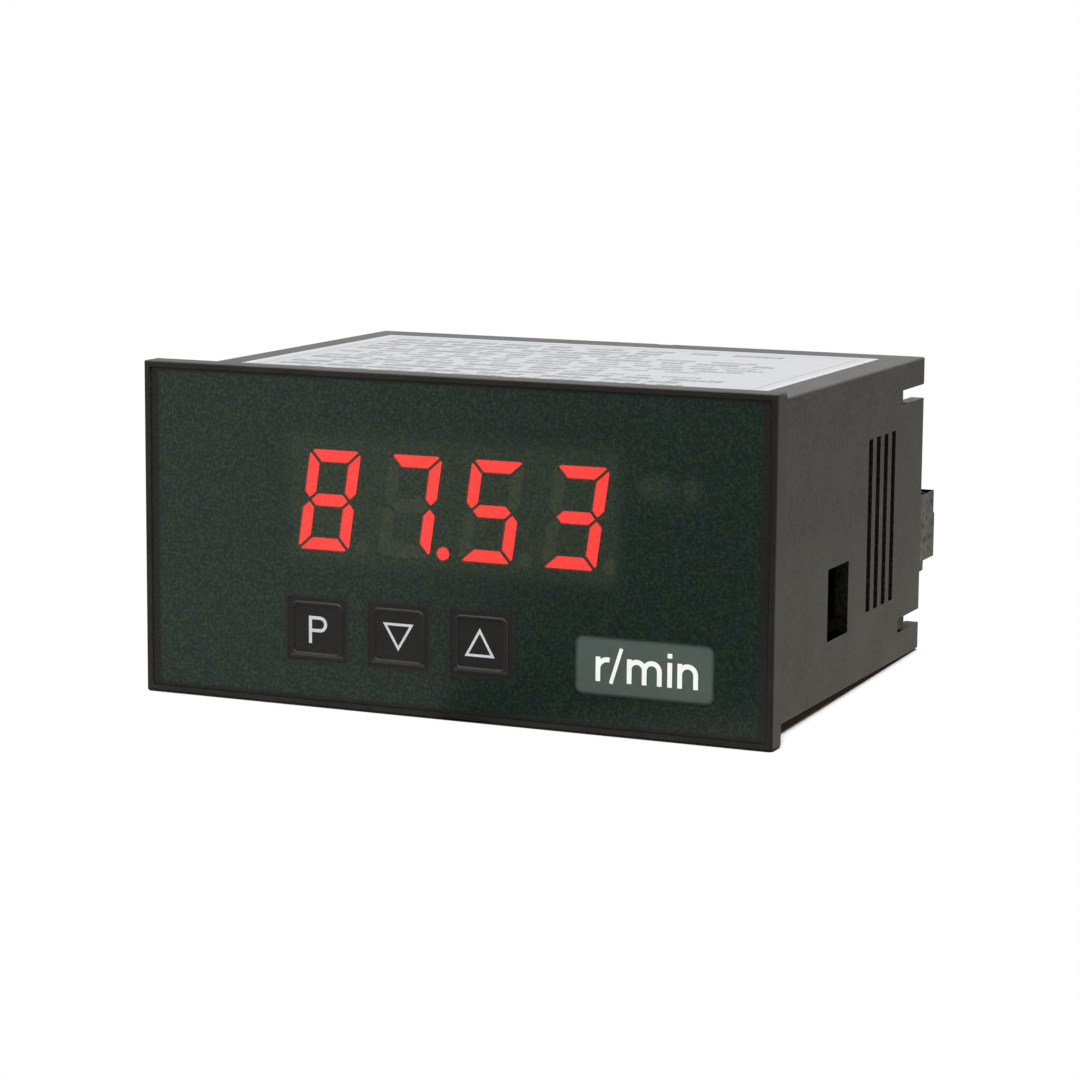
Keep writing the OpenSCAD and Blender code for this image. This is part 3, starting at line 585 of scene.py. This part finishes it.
steelDark, steelLight = (0.035, 0.035, 0.038), (0.075, 0.073, 0.072)
sleeveBlack = (0.012, 0.013, 0.020)
materials = {
    "case_plastic": casePlastic(),
    "seal_rubber": grainedPlastic("sealRubber", (0.010, 0.010, 0.010), 0.85, 0.2, 0.5, 0.05, 0.3),
    "tinted_film": filmMaterial(),
    "strip_film": grainedPlastic("stripFilm", (0.105, 0.136, 0.121), 0.6, 0.2, 0.5, 0.004, 0.06),
    "label_paper": labelMaterial(),
    "circuit_board": boardMaterial(),
    "display_case": grainedPlastic("displayCase", (0.24, 0.25, 0.15), 0.6, 0.3),
    "segment_on": glowMaterial("segmentOn", (1.0, 0.033, 0.033), 5.95, (0.5, 0.03, 0.02)),
    # unlit segments: a faint painted glow stands for light that reaches them through the film
    "segment_off": glowMaterial("segmentOffPaintedGlow", (0.60, 0.66, 0.28), 0.045, (0.60, 0.54, 0.32)),
    "lamp_lens": glowMaterial("lampLens", (0.90, 1.00, 0.72), 0.10, (0.50, 0.51, 0.36)),
    "key_film": keyMaterial(),
    "plunger_plastic": grainedPlastic("plungerPlastic", (0.14, 0.15, 0.15), 0.5, 0.4),
    "chip_plastic": grainedPlastic("chipPlastic", (0.014, 0.014, 0.015), 0.55, 0.4, 0.2),
    "pin_metal": metal("pinMetal", (0.72, 0.68, 0.58), 0.3),
    "core_steel": wrappedMaterial("coreSteel", steelDark, steelLight, 0.45, 0.5),
    "coil_tape": wrappedMaterial("coilTape", (0.45, 0.26, 0.035), (0.62, 0.39, 0.06), 0.25, 5.0),
    "relay_case": grainedPlastic("relayCase", (0.012, 0.055, 0.19), 0.3, 0.5, 0.6, 0.006),
    "capacitor_sleeve": grainedPlastic("capacitorSleeve", sleeveBlack, 0.28, 0.5, 1.2, 0.006),
    "can_metal": metal("canMetal", (0.70, 0.70, 0.71), 0.28),
    "varistor_coat": grainedPlastic("varistorCoat", (0.02, 0.10, 0.33), 0.4, 0.5, 1.0, 0.03),
    "socket_plastic": grainedPlastic("socketPlastic", (0.020, 0.021, 0.018), 0.5, 0.35),
    "plug_plastic": plugPlastic(),
    "screw_steel": metal("screwSteel", (0.66, 0.66, 0.64), 0.25, 0.5),
    "clamp_metal": metal("clampMetal", (0.66, 0.62, 0.50), 0.35),
}

for row in frame["record"]["subparts"]:
    mesh = nodes[row["node"]].data
    mesh.materials.clear()
    mesh.materials.append(materials[row["material_slot"]])
print("materials on", len(nodes), "parts")


softEdges = {      # millimetres
    "housing": 0.08, "rear_cover": 0.1, "key_p": 0.06, "key_down": 0.06, "key_up": 0.06,
    "plug_supply": 0.15, "plug_input": 0.15, "plug_relay": 0.15,
    "socket_supply": 0.1, "socket_input": 0.1, "socket_relay": 0.1,
    "relay_1": 0.4, "relay_2": 0.4, "main_board": 0.08, "display_board": 0.08,
    "controller_chip": 0.12, "converter_chip": 0.12, "transformer_core": 0.1,
}
segmentGap = 0.095     # each lit segment keeps this much clear of its pocket, in millimetres


def weld(piece):
    piece.modifiers.new("weld", "WELD").merge_threshold = 0.002 * mm


def softenEdges(piece, width):
    weld(piece)
    bevel = piece.modifiers.new("edge", "BEVEL")
    bevel.width = width * mm
    bevel.segments = 3
    bevel.limit_method = "ANGLE"
    bevel.angle_limit = math.radians(40)
    bevel.harden_normals = False


def shrinkSegments(piece):
    weld(piece)
    clear = piece.modifiers.new("clear", "DISPLACE")
    clear.mid_level = 0
    clear.strength = -segmentGap * math.sqrt(3) * mm     # along the corners


for node, width in softEdges.items():
    softenEdges(nodes[node], width)
print("edges softened on", len(softEdges), "parts")
shrinkSegments(nodes["segments_lit"])
print("gap drawn round the lit segments")


def arc(centre, radius, start, end, steps):
    # points on an arc, angles in degrees, counter-clockwise from +x
    return [
        (centre[0] + radius * math.cos(math.radians(start + (end - start) * i / steps)),
         centre[1] + radius * math.sin(math.radians(start + (end - start) * i / steps)))
        for i in range(steps + 1)
    ]


def strokeSides(points, width, closed):
    # left and right edges of a stroke, mitred at its corners
    least = 0.3      # keeps a very sharp corner's mitre short
    sides = ([], [])
    count = len(points)
    for i, point in enumerate(points):
        here = Vector(point)
        ways = []
        if i or closed:
            ways.append((here - Vector(points[i - 1])).normalized())
        if i < count - 1 or closed:
            ways.append((Vector(points[(i + 1) % count]) - here).normalized())
        normals = [Vector((-w.y, w.x)) for w in ways]
        mitre = sum(normals, Vector((0, 0))).normalized()
        reach = width / 2 / max(mitre.dot(normals[0]), least)
        sides[0].append(here + mitre * reach)
        sides[1].append(here - mitre * reach)
    return sides


def addStroke(bm, points, width, front, back, closed=False):
    # a flat ribbon with a little thickness, facing the front
    left, right = strokeSides(points, width, closed)
    rings = []
    for a, b in zip(left, right):
        corners = ((a, front), (b, front), (b, back), (a, back))
        rings.append([bm.verts.new((p.x, y, p.y)) for p, y in corners])
    spans = len(rings) if closed else len(rings) - 1
    for i in range(spans):
        one, two = rings[i], rings[(i + 1) % len(rings)]
        for k in range(4):
            bm.faces.new((one[k], two[k], two[(k + 1) % 4], one[(k + 1) % 4]))
    if not closed:
        bm.faces.new(rings[0])
        bm.faces.new(rings[-1][::-1])


def addMesh(name, bm, material):
    mesh = bpy.data.meshes.new(name)
    bm.to_mesh(mesh)
    bm.free()
    mesh.materials.append(material)
    return addObject(name, mesh)


def makePiece(name, bm, material, body):
    bmesh.ops.recalc_face_normals(bm, faces=bm.faces)
    piece = addMesh(name, bm, material)
    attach(piece, body)


def ink(name, color, lift=0.0):
    # printing ink; the last argument is painted light that makes white print glow faintly
    material = grainedPlastic(name, color, 0.5, 0.2, 0.3, 0.002, 0.05)
    shader = next(n for n in material.node_tree.nodes if n.type == "BSDF_PRINCIPLED")
    shader.inputs["Emission Color"].default_value = (*color, 1)
    shader.inputs["Emission Strength"].default_value = lift
    return material


overlapStep = 0.002    # each stroke lies this much in front of the one before, in millimetres
legend = {
    "color": (0.68, 0.72, 0.76),
    "letterStroke": 0.47,
    "signStroke": 0.36,
    "thick": 0.03,
    "sunk": 0.02,
    "stem": (-1.0, -2.0, 1.9),                              # the letter's stem: place, foot and top
    "bowl": (0.5, 0.755, 0.905),                            # its bowl's centre and radius
    "down": [(-2.0, 1.71), (2.1, 1.71), (0.05, -1.7)],      # corners from the key's centre
    "up": [(-2.15, -1.65), (1.8, -1.65), (-0.17, 1.85)],
}
legendInk = ink("legendInk", legend["color"])


def keyLegend(name, key, body, width, strokes):
    # strokes are (points, closed) in millimetres from the key's centre
    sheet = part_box("front_film")[0].y
    centre = middle(key)
    bm = bmesh.new()
    for i, (points, closed) in enumerate(strokes):
        placed = [(centre.x + x * mm, centre.z + z * mm) for x, z in points]
        front = sheet - (legend["thick"] + overlapStep * i) * mm
        addStroke(bm, placed, width * mm, front, sheet + legend["sunk"] * mm, closed)
    makePiece(name, bm, legendInk, body)


def letterP():
    left, foot, top = legend["stem"]
    x, z, r = legend["bowl"]
    bowl = [(left, z + r), (x - 0.05, z + r)] + arc((x, z), r, 90, -90, 12) + [(left, z - r)]
    return [([(left, foot), (left, top)], False), (bowl, False)]


keyLegend("legendP", "key_p", "p_key", legend["letterStroke"], letterP())
keyLegend("legendDown", "key_down", "down_key", legend["signStroke"], [(legend["down"], True)])
keyLegend("legendUp", "key_up", "up_key", legend["signStroke"], [(legend["up"], True)])
print("keys marked")


filler = {
    "grooveWidth": 0.15,
    "grooveCorner": 0.4,
    "behind": 0.04,        # how far the filler in the groove lies behind the film's face
    "keyWidth": 0.07,
    "keyCorner": 0.34,
    "keyGap": 0.1,
    "keyBehind": 0.005,    # and the web round a key
    "deep": 0.15,
}


def roundedLoop(centre, half, radius):
    points = []
    for x, z, start in ((1, 1, 0), (-1, 1, 90), (-1, -1, 180), (1, -1, 270)):
        corner = (centre[0] + x * (half[0] - radius), centre[1] + z * (half[1] - radius))
        points += arc(corner, radius, start, start + 90, 6)
    return points


def grooveFiller():
    # black filler in the groove between film and frame
    low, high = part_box("front_film")
    width = filler["grooveWidth"] * mm
    front = low.y + filler["behind"] * mm
    bm = bmesh.new()
    half = (high.x + width / 2, high.z + width / 2)
    loop = roundedLoop((0, 0), half, filler["grooveCorner"] * mm)
    addStroke(bm, loop, width, front, front + filler["deep"] * mm, True)
    makePiece("grooveFiller", bm, materials["case_plastic"], "case")


def keyWebs():
    # the thin web that joins each key to the film
    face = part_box("front_film")[0].y
    front, back = face + filler["keyBehind"] * mm, face + filler["deep"] * mm
    bm = bmesh.new()
    for key in keyPads:
        centre = middle(key)
        half = [(size + filler["keyGap"]) / 2 * mm for size in slotSize(key)]
        loop = roundedLoop((centre.x, centre.z), half, filler["keyCorner"] * mm)
        addStroke(bm, loop, filler["keyWidth"] * mm, front, back, True)
    makePiece("keyWebs", bm, materials["key_film"], "case")


grooveFiller()
keyWebs()
print("grooves filled")


unitSign = {
    "color": (0.92, 0.96, 0.88),
    # painted light: a faint glow on the white print
    "lift": 0.24,
    "stroke": 0.68,
    "slashStroke": 0.52,
    "left": 22.15,
    "foot": -16.65,
    "xHeight": 3.4,
    "rise": 4.65,                          # top of the i's dot
    "thick": 0.03,
    "sunk": 0.05,
    "stems": (0.35, 4.95, 10.85, 12.3),    # of r, m, i and n
    "arches": (2.2, 2.3),                  # widths of m's and n's
    "rArm": 1.35,
    "slash": (2.25, 3.8),                  # its foot and its head
}


def stem(x, height):
    return [(x, 0), (x, height)]


def arch(x, width, height, stroke):
    # shoulder that springs from the stem at x and comes down again
    r = width / 2
    crown = (x + r, height - r - stroke / 2 + 0.02)
    return [(x, height - r * 1.15)] + arc(crown, r, 160, 0, 12) + [(x + width, 0)]


def unitLetters():
    # strokes of the generic unit r/min as (points, width)
    h, s, top = unitSign["xHeight"], unitSign["stroke"], unitSign["rise"]
    rStem, mStem, iStem, nStem = unitSign["stems"]
    mArch, nArch = unitSign["arches"]
    arm = unitSign["rArm"]
    letters = [
        stem(rStem, h),
        [(rStem, h - 1.3)] + arc((rStem + arm, h - arm - s / 2), arm, 165, 75, 8),
        stem(mStem, h), arch(mStem, mArch, h, s), arch(mStem + mArch, mArch, h, s),
        stem(iStem, h), [(iStem, top - s * 0.95), (iStem, top)],
        stem(nStem, h), arch(nStem, nArch, h, s),
    ]
    foot, head = unitSign["slash"]
    slash = [(foot, -0.2), (head, top + 0.1)]
    return [(points, s) for points in letters] + [(slash, unitSign["slashStroke"])]


def drawUnitSign():
    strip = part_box("unit_strip")[0].y
    bm = bmesh.new()
    for i, (points, width) in enumerate(unitLetters()):
        placed = [((unitSign["left"] + x) * mm, (unitSign["foot"] + z) * mm) for x, z in points]
        front = strip - (unitSign["thick"] + overlapStep * i) * mm
        addStroke(bm, placed, width * mm, front, strip + unitSign["sunk"] * mm)
    signInk = ink("signInk", unitSign["color"], unitSign["lift"])
    makePiece("unitSign", bm, signInk, "case")


drawUnitSign()
print("unit sign drawn")


def addBar(bm, x, y, width, depth, low, high):
    corners = [bm.verts.new((x + dx * width, y + dy * depth, z)) for z in (low, high)
               for dx, dy in ((0, 0), (1, 0), (1, 1), (0, 1))]
    sides = [(k, (k + 1) % 4, (k + 1) % 4 + 4, k + 4) for k in range(4)]
    for around in [(3, 2, 1, 0), (4, 5, 6, 7)] + sides:
        bm.faces.new([corners[k] for k in around])


def markRows(bm, low, high, layer):
    # rows of word-like groups of small marks
    chance = random.Random(11)
    border = label["border"] * mm
    y = low.y + border
    while y < high.y - border - max(label["heights"]) * mm:
        height = chance.choice(label["heights"]) * mm
        x = low.x + border + chance.choice(label["indents"]) * mm
        rowEnd = high.x - border - chance.choice(label["shorter"]) * mm
        while x < rowEnd - label["lastWord"] * mm:
            for _ in range(chance.randint(*label["marks"])):
                width = height * chance.uniform(*label["markWidths"])
                addBar(bm, x, y, width, height * chance.choice(label["markHeights"]), *layer)
                x += width + label["markGap"] * mm
            x += chance.uniform(*label["wordGaps"]) * mm
        y += height + label["space"] * mm


def markFrame(bm, low, high, layer):
    line, inset = label["frameLine"] * mm, label["frameInset"] * mm
    wide, deep = high.x - low.x - 2 * inset, high.y - low.y - 2 * inset
    for x in (low.x + inset, high.x - inset):
        addBar(bm, x, low.y + inset, line, deep, *layer)
    for y in (low.y + inset - line, high.y - inset):
        addBar(bm, low.x + inset, y, wide, line, *layer)


def labelMarks():
    # faint generic print that says nothing
    low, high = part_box("top_label")
    layer = (high.z - label["thick"] * mm, high.z + label["thick"] * mm)
    bm = bmesh.new()
    markRows(bm, low, high, layer)
    markFrame(bm, low, high, layer)
    makePiece("labelPrint", bm, ink("greyInk", label["ink"]), "case")


labelMarks()
print("label printed")


studio = {
    "tilt": 1.2,                            # degrees; the case stands on its frame and rear edge
    "floorHalf": 1600,
    "floorDrop": 0.02,                      # gap under the case
    "floorAlbedo": (0.86, 0.86, 0.85),
    "floorGlow": (0.63, 0.61, 0.54),        # what the glossy surfaces see of the floor
    "floorReach": (80, 380),                # two places behind the panel
    "floorFar": (1.0, 0.62),                # and the share of that glow at each
    "skyRise": (0.6, 0.9),                  # where the sky starts to brighten and is full
    "skyGlow": (0.78, 4.5),                 # what glossy surfaces see of it, low down and overhead
    "skyLight": 0.72,
    "darkSide": (0.3, -0.954, 0),           # towards the dark part of the room, in front
    "darkEdge": (0.715, 0.835),             # where that starts and is full
    "darkest": 0.12,
    "contact": 6.0,                         # reach of the shadow under the case
    "contactEdge": (0.475, 0.54),           # openness where the shadow is full and where it ends
    "contactDark": (0.020, 0.014, 0.010),
}
softboxes = {      # place, aim and size in metres, watts
    "topBox": ((0.05, 0.0, 0.55), (0, 0.03, 0), (0.6, 0.6), 2.2),
    "sideBox": ((0.6, 0.1, 0.25), (0, 0.03, 0), (0.5, 0.4), 0.9),
}


def roomShade(tree, direction):
    # 1 round about, less towards the dark side
    toDark = vector(tree, "DOT_PRODUCT", direction, studio["darkSide"])
    return spread(tree, toDark, *studio["darkEdge"], 1, studio["darkest"], "SMOOTHSTEP")


def mirrorRays(tree):
    # 1 for rays that a glossy or clear surface sends out
    path = tree.nodes.new("ShaderNodeLightPath").outputs
    return path, value(tree, "MAXIMUM", path["Is Glossy Ray"], path["Is Transmission Ray"])


def blend(tree, fac, a, b):
    node = tree.nodes.new("ShaderNodeMixShader")
    for socket, source in zip(node.inputs, (fac, a, b)):
        tree.links.new(source, socket)
    return node.outputs[0]


def glow(tree, color, strength=1.0):
    node = tree.nodes.new("ShaderNodeEmission")
    feedColor(tree, node.inputs["Color"], color)
    feed(tree, node.inputs["Strength"], strength)
    return node.outputs[0]


def contactShadow(tree):
    dark, white = studio["contactEdge"]
    contact = tree.nodes.new("ShaderNodeAmbientOcclusion")
    contact.samples = 16
    contact.inputs["Distance"].default_value = studio["contact"] * mm
    return ramp(tree, contact.outputs["AO"], [(dark, studio["contactDark"]), (white, (1, 1, 1))])


def floorMaterial():
    # white to the camera but for the contact shadow, plain white paper to the light
    material, tree, output = startMaterial("floorWhite")
    diffuse = tree.nodes.new("ShaderNodeBsdfDiffuse")
    diffuse.inputs["Color"].default_value = (*studio["floorAlbedo"], 1)
    place = objectPlace(tree)
    near, far = studio["floorReach"]
    share = spread(tree, axis(tree, place, "Y"), near * mm, far * mm, *studio["floorFar"])
    toward = roomShade(tree, vector(tree, "NORMALIZE", place))
    mirrored = glow(tree, studio["floorGlow"], product(tree, share, toward))
    path, glossy = mirrorRays(tree)
    shown = blend(tree, glossy, glow(tree, contactShadow(tree)), mirrored)
    direct = value(tree, "MAXIMUM", path["Is Camera Ray"], glossy)
    tree.links.new(blend(tree, direct, diffuse.outputs[0], shown), output.inputs["Surface"])
    return material


def whiteFloor():
    bm = bmesh.new()
    bmesh.ops.create_grid(bm, x_segments=1, y_segments=1, size=studio["floorHalf"] * mm)
    floor = addMesh("floor", bm, floorMaterial())
    floor.rotation_euler = (math.radians(studio["tilt"]), 0, 0)
    floor.location = (0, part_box("panel_gasket")[0].y, cadBox[0][2] - studio["floorDrop"] * mm)


def whiteSky():
    # white to the camera, even light, and a dark side for the glossy surfaces
    world = bpy.data.worlds.new("studioSky")
    bpy.context.scene.world = world
    world.use_nodes = True
    tree = world.node_tree
    tree.nodes.clear()
    output = tree.nodes.new("ShaderNodeOutputWorld")
    background = tree.nodes.new("ShaderNodeBackground")
    background.inputs["Color"].default_value = (1, 1, 1, 1)
    direction = tree.nodes.new("ShaderNodeTexCoord").outputs["Generated"]
    path, glossy = mirrorRays(tree)
    height = axis(tree, direction, "Z")
    overhead = spread(tree, height, *studio["skyRise"], *studio["skyGlow"], "SMOOTHSTEP")
    mirrored = product(tree, roomShade(tree, direction), overhead, glossy)
    plain = spread(tree, glossy, 0, 1, studio["skyLight"], 0)
    unseen = spread(tree, path["Is Camera Ray"], 0, 1, 1, 0)
    strength = product(tree, value(tree, "ADD", mirrored, plain), unseen)
    strength = value(tree, "ADD", strength, path["Is Camera Ray"])
    tree.links.new(strength, background.inputs["Strength"])
    tree.links.new(background.outputs[0], output.inputs["Surface"])


def softbox(name, place, aim, size, watts):
    light = bpy.data.lights.new(name, "AREA")
    light.shape = "RECTANGLE"
    light.size, light.size_y = size
    light.energy = watts
    lamp = addObject(name, light)
    lamp.location = place
    lamp.rotation_euler = (Vector(aim) - Vector(place)).to_track_quat("-Z", "Y").to_euler()
    lamp.visible_glossy = False


whiteFloor()
whiteSky()
for name, settings in softboxes.items():
    softbox(name, *settings)
print("studio ready")


view = {
    "place": (190.46, -409.16, 71.12),
    "turn": (81.14, -0.456, 23.63),         # degrees
    "lens": 109.25,
    "sensor": 36,
    "nearest": 10,
}

camera = bpy.data.cameras.new("camera")
camera.lens = view["lens"]
camera.sensor_width = view["sensor"]
camera.clip_start = view["nearest"] * mm
cameraPiece = addObject("camera", camera)
cameraPiece.location = [c * mm for c in view["place"]]
cameraPiece.rotation_euler = [math.radians(a) for a in view["turn"]]
bpy.context.scene.camera = cameraPiece
bpy.context.scene.view_settings.view_transform = "Standard"
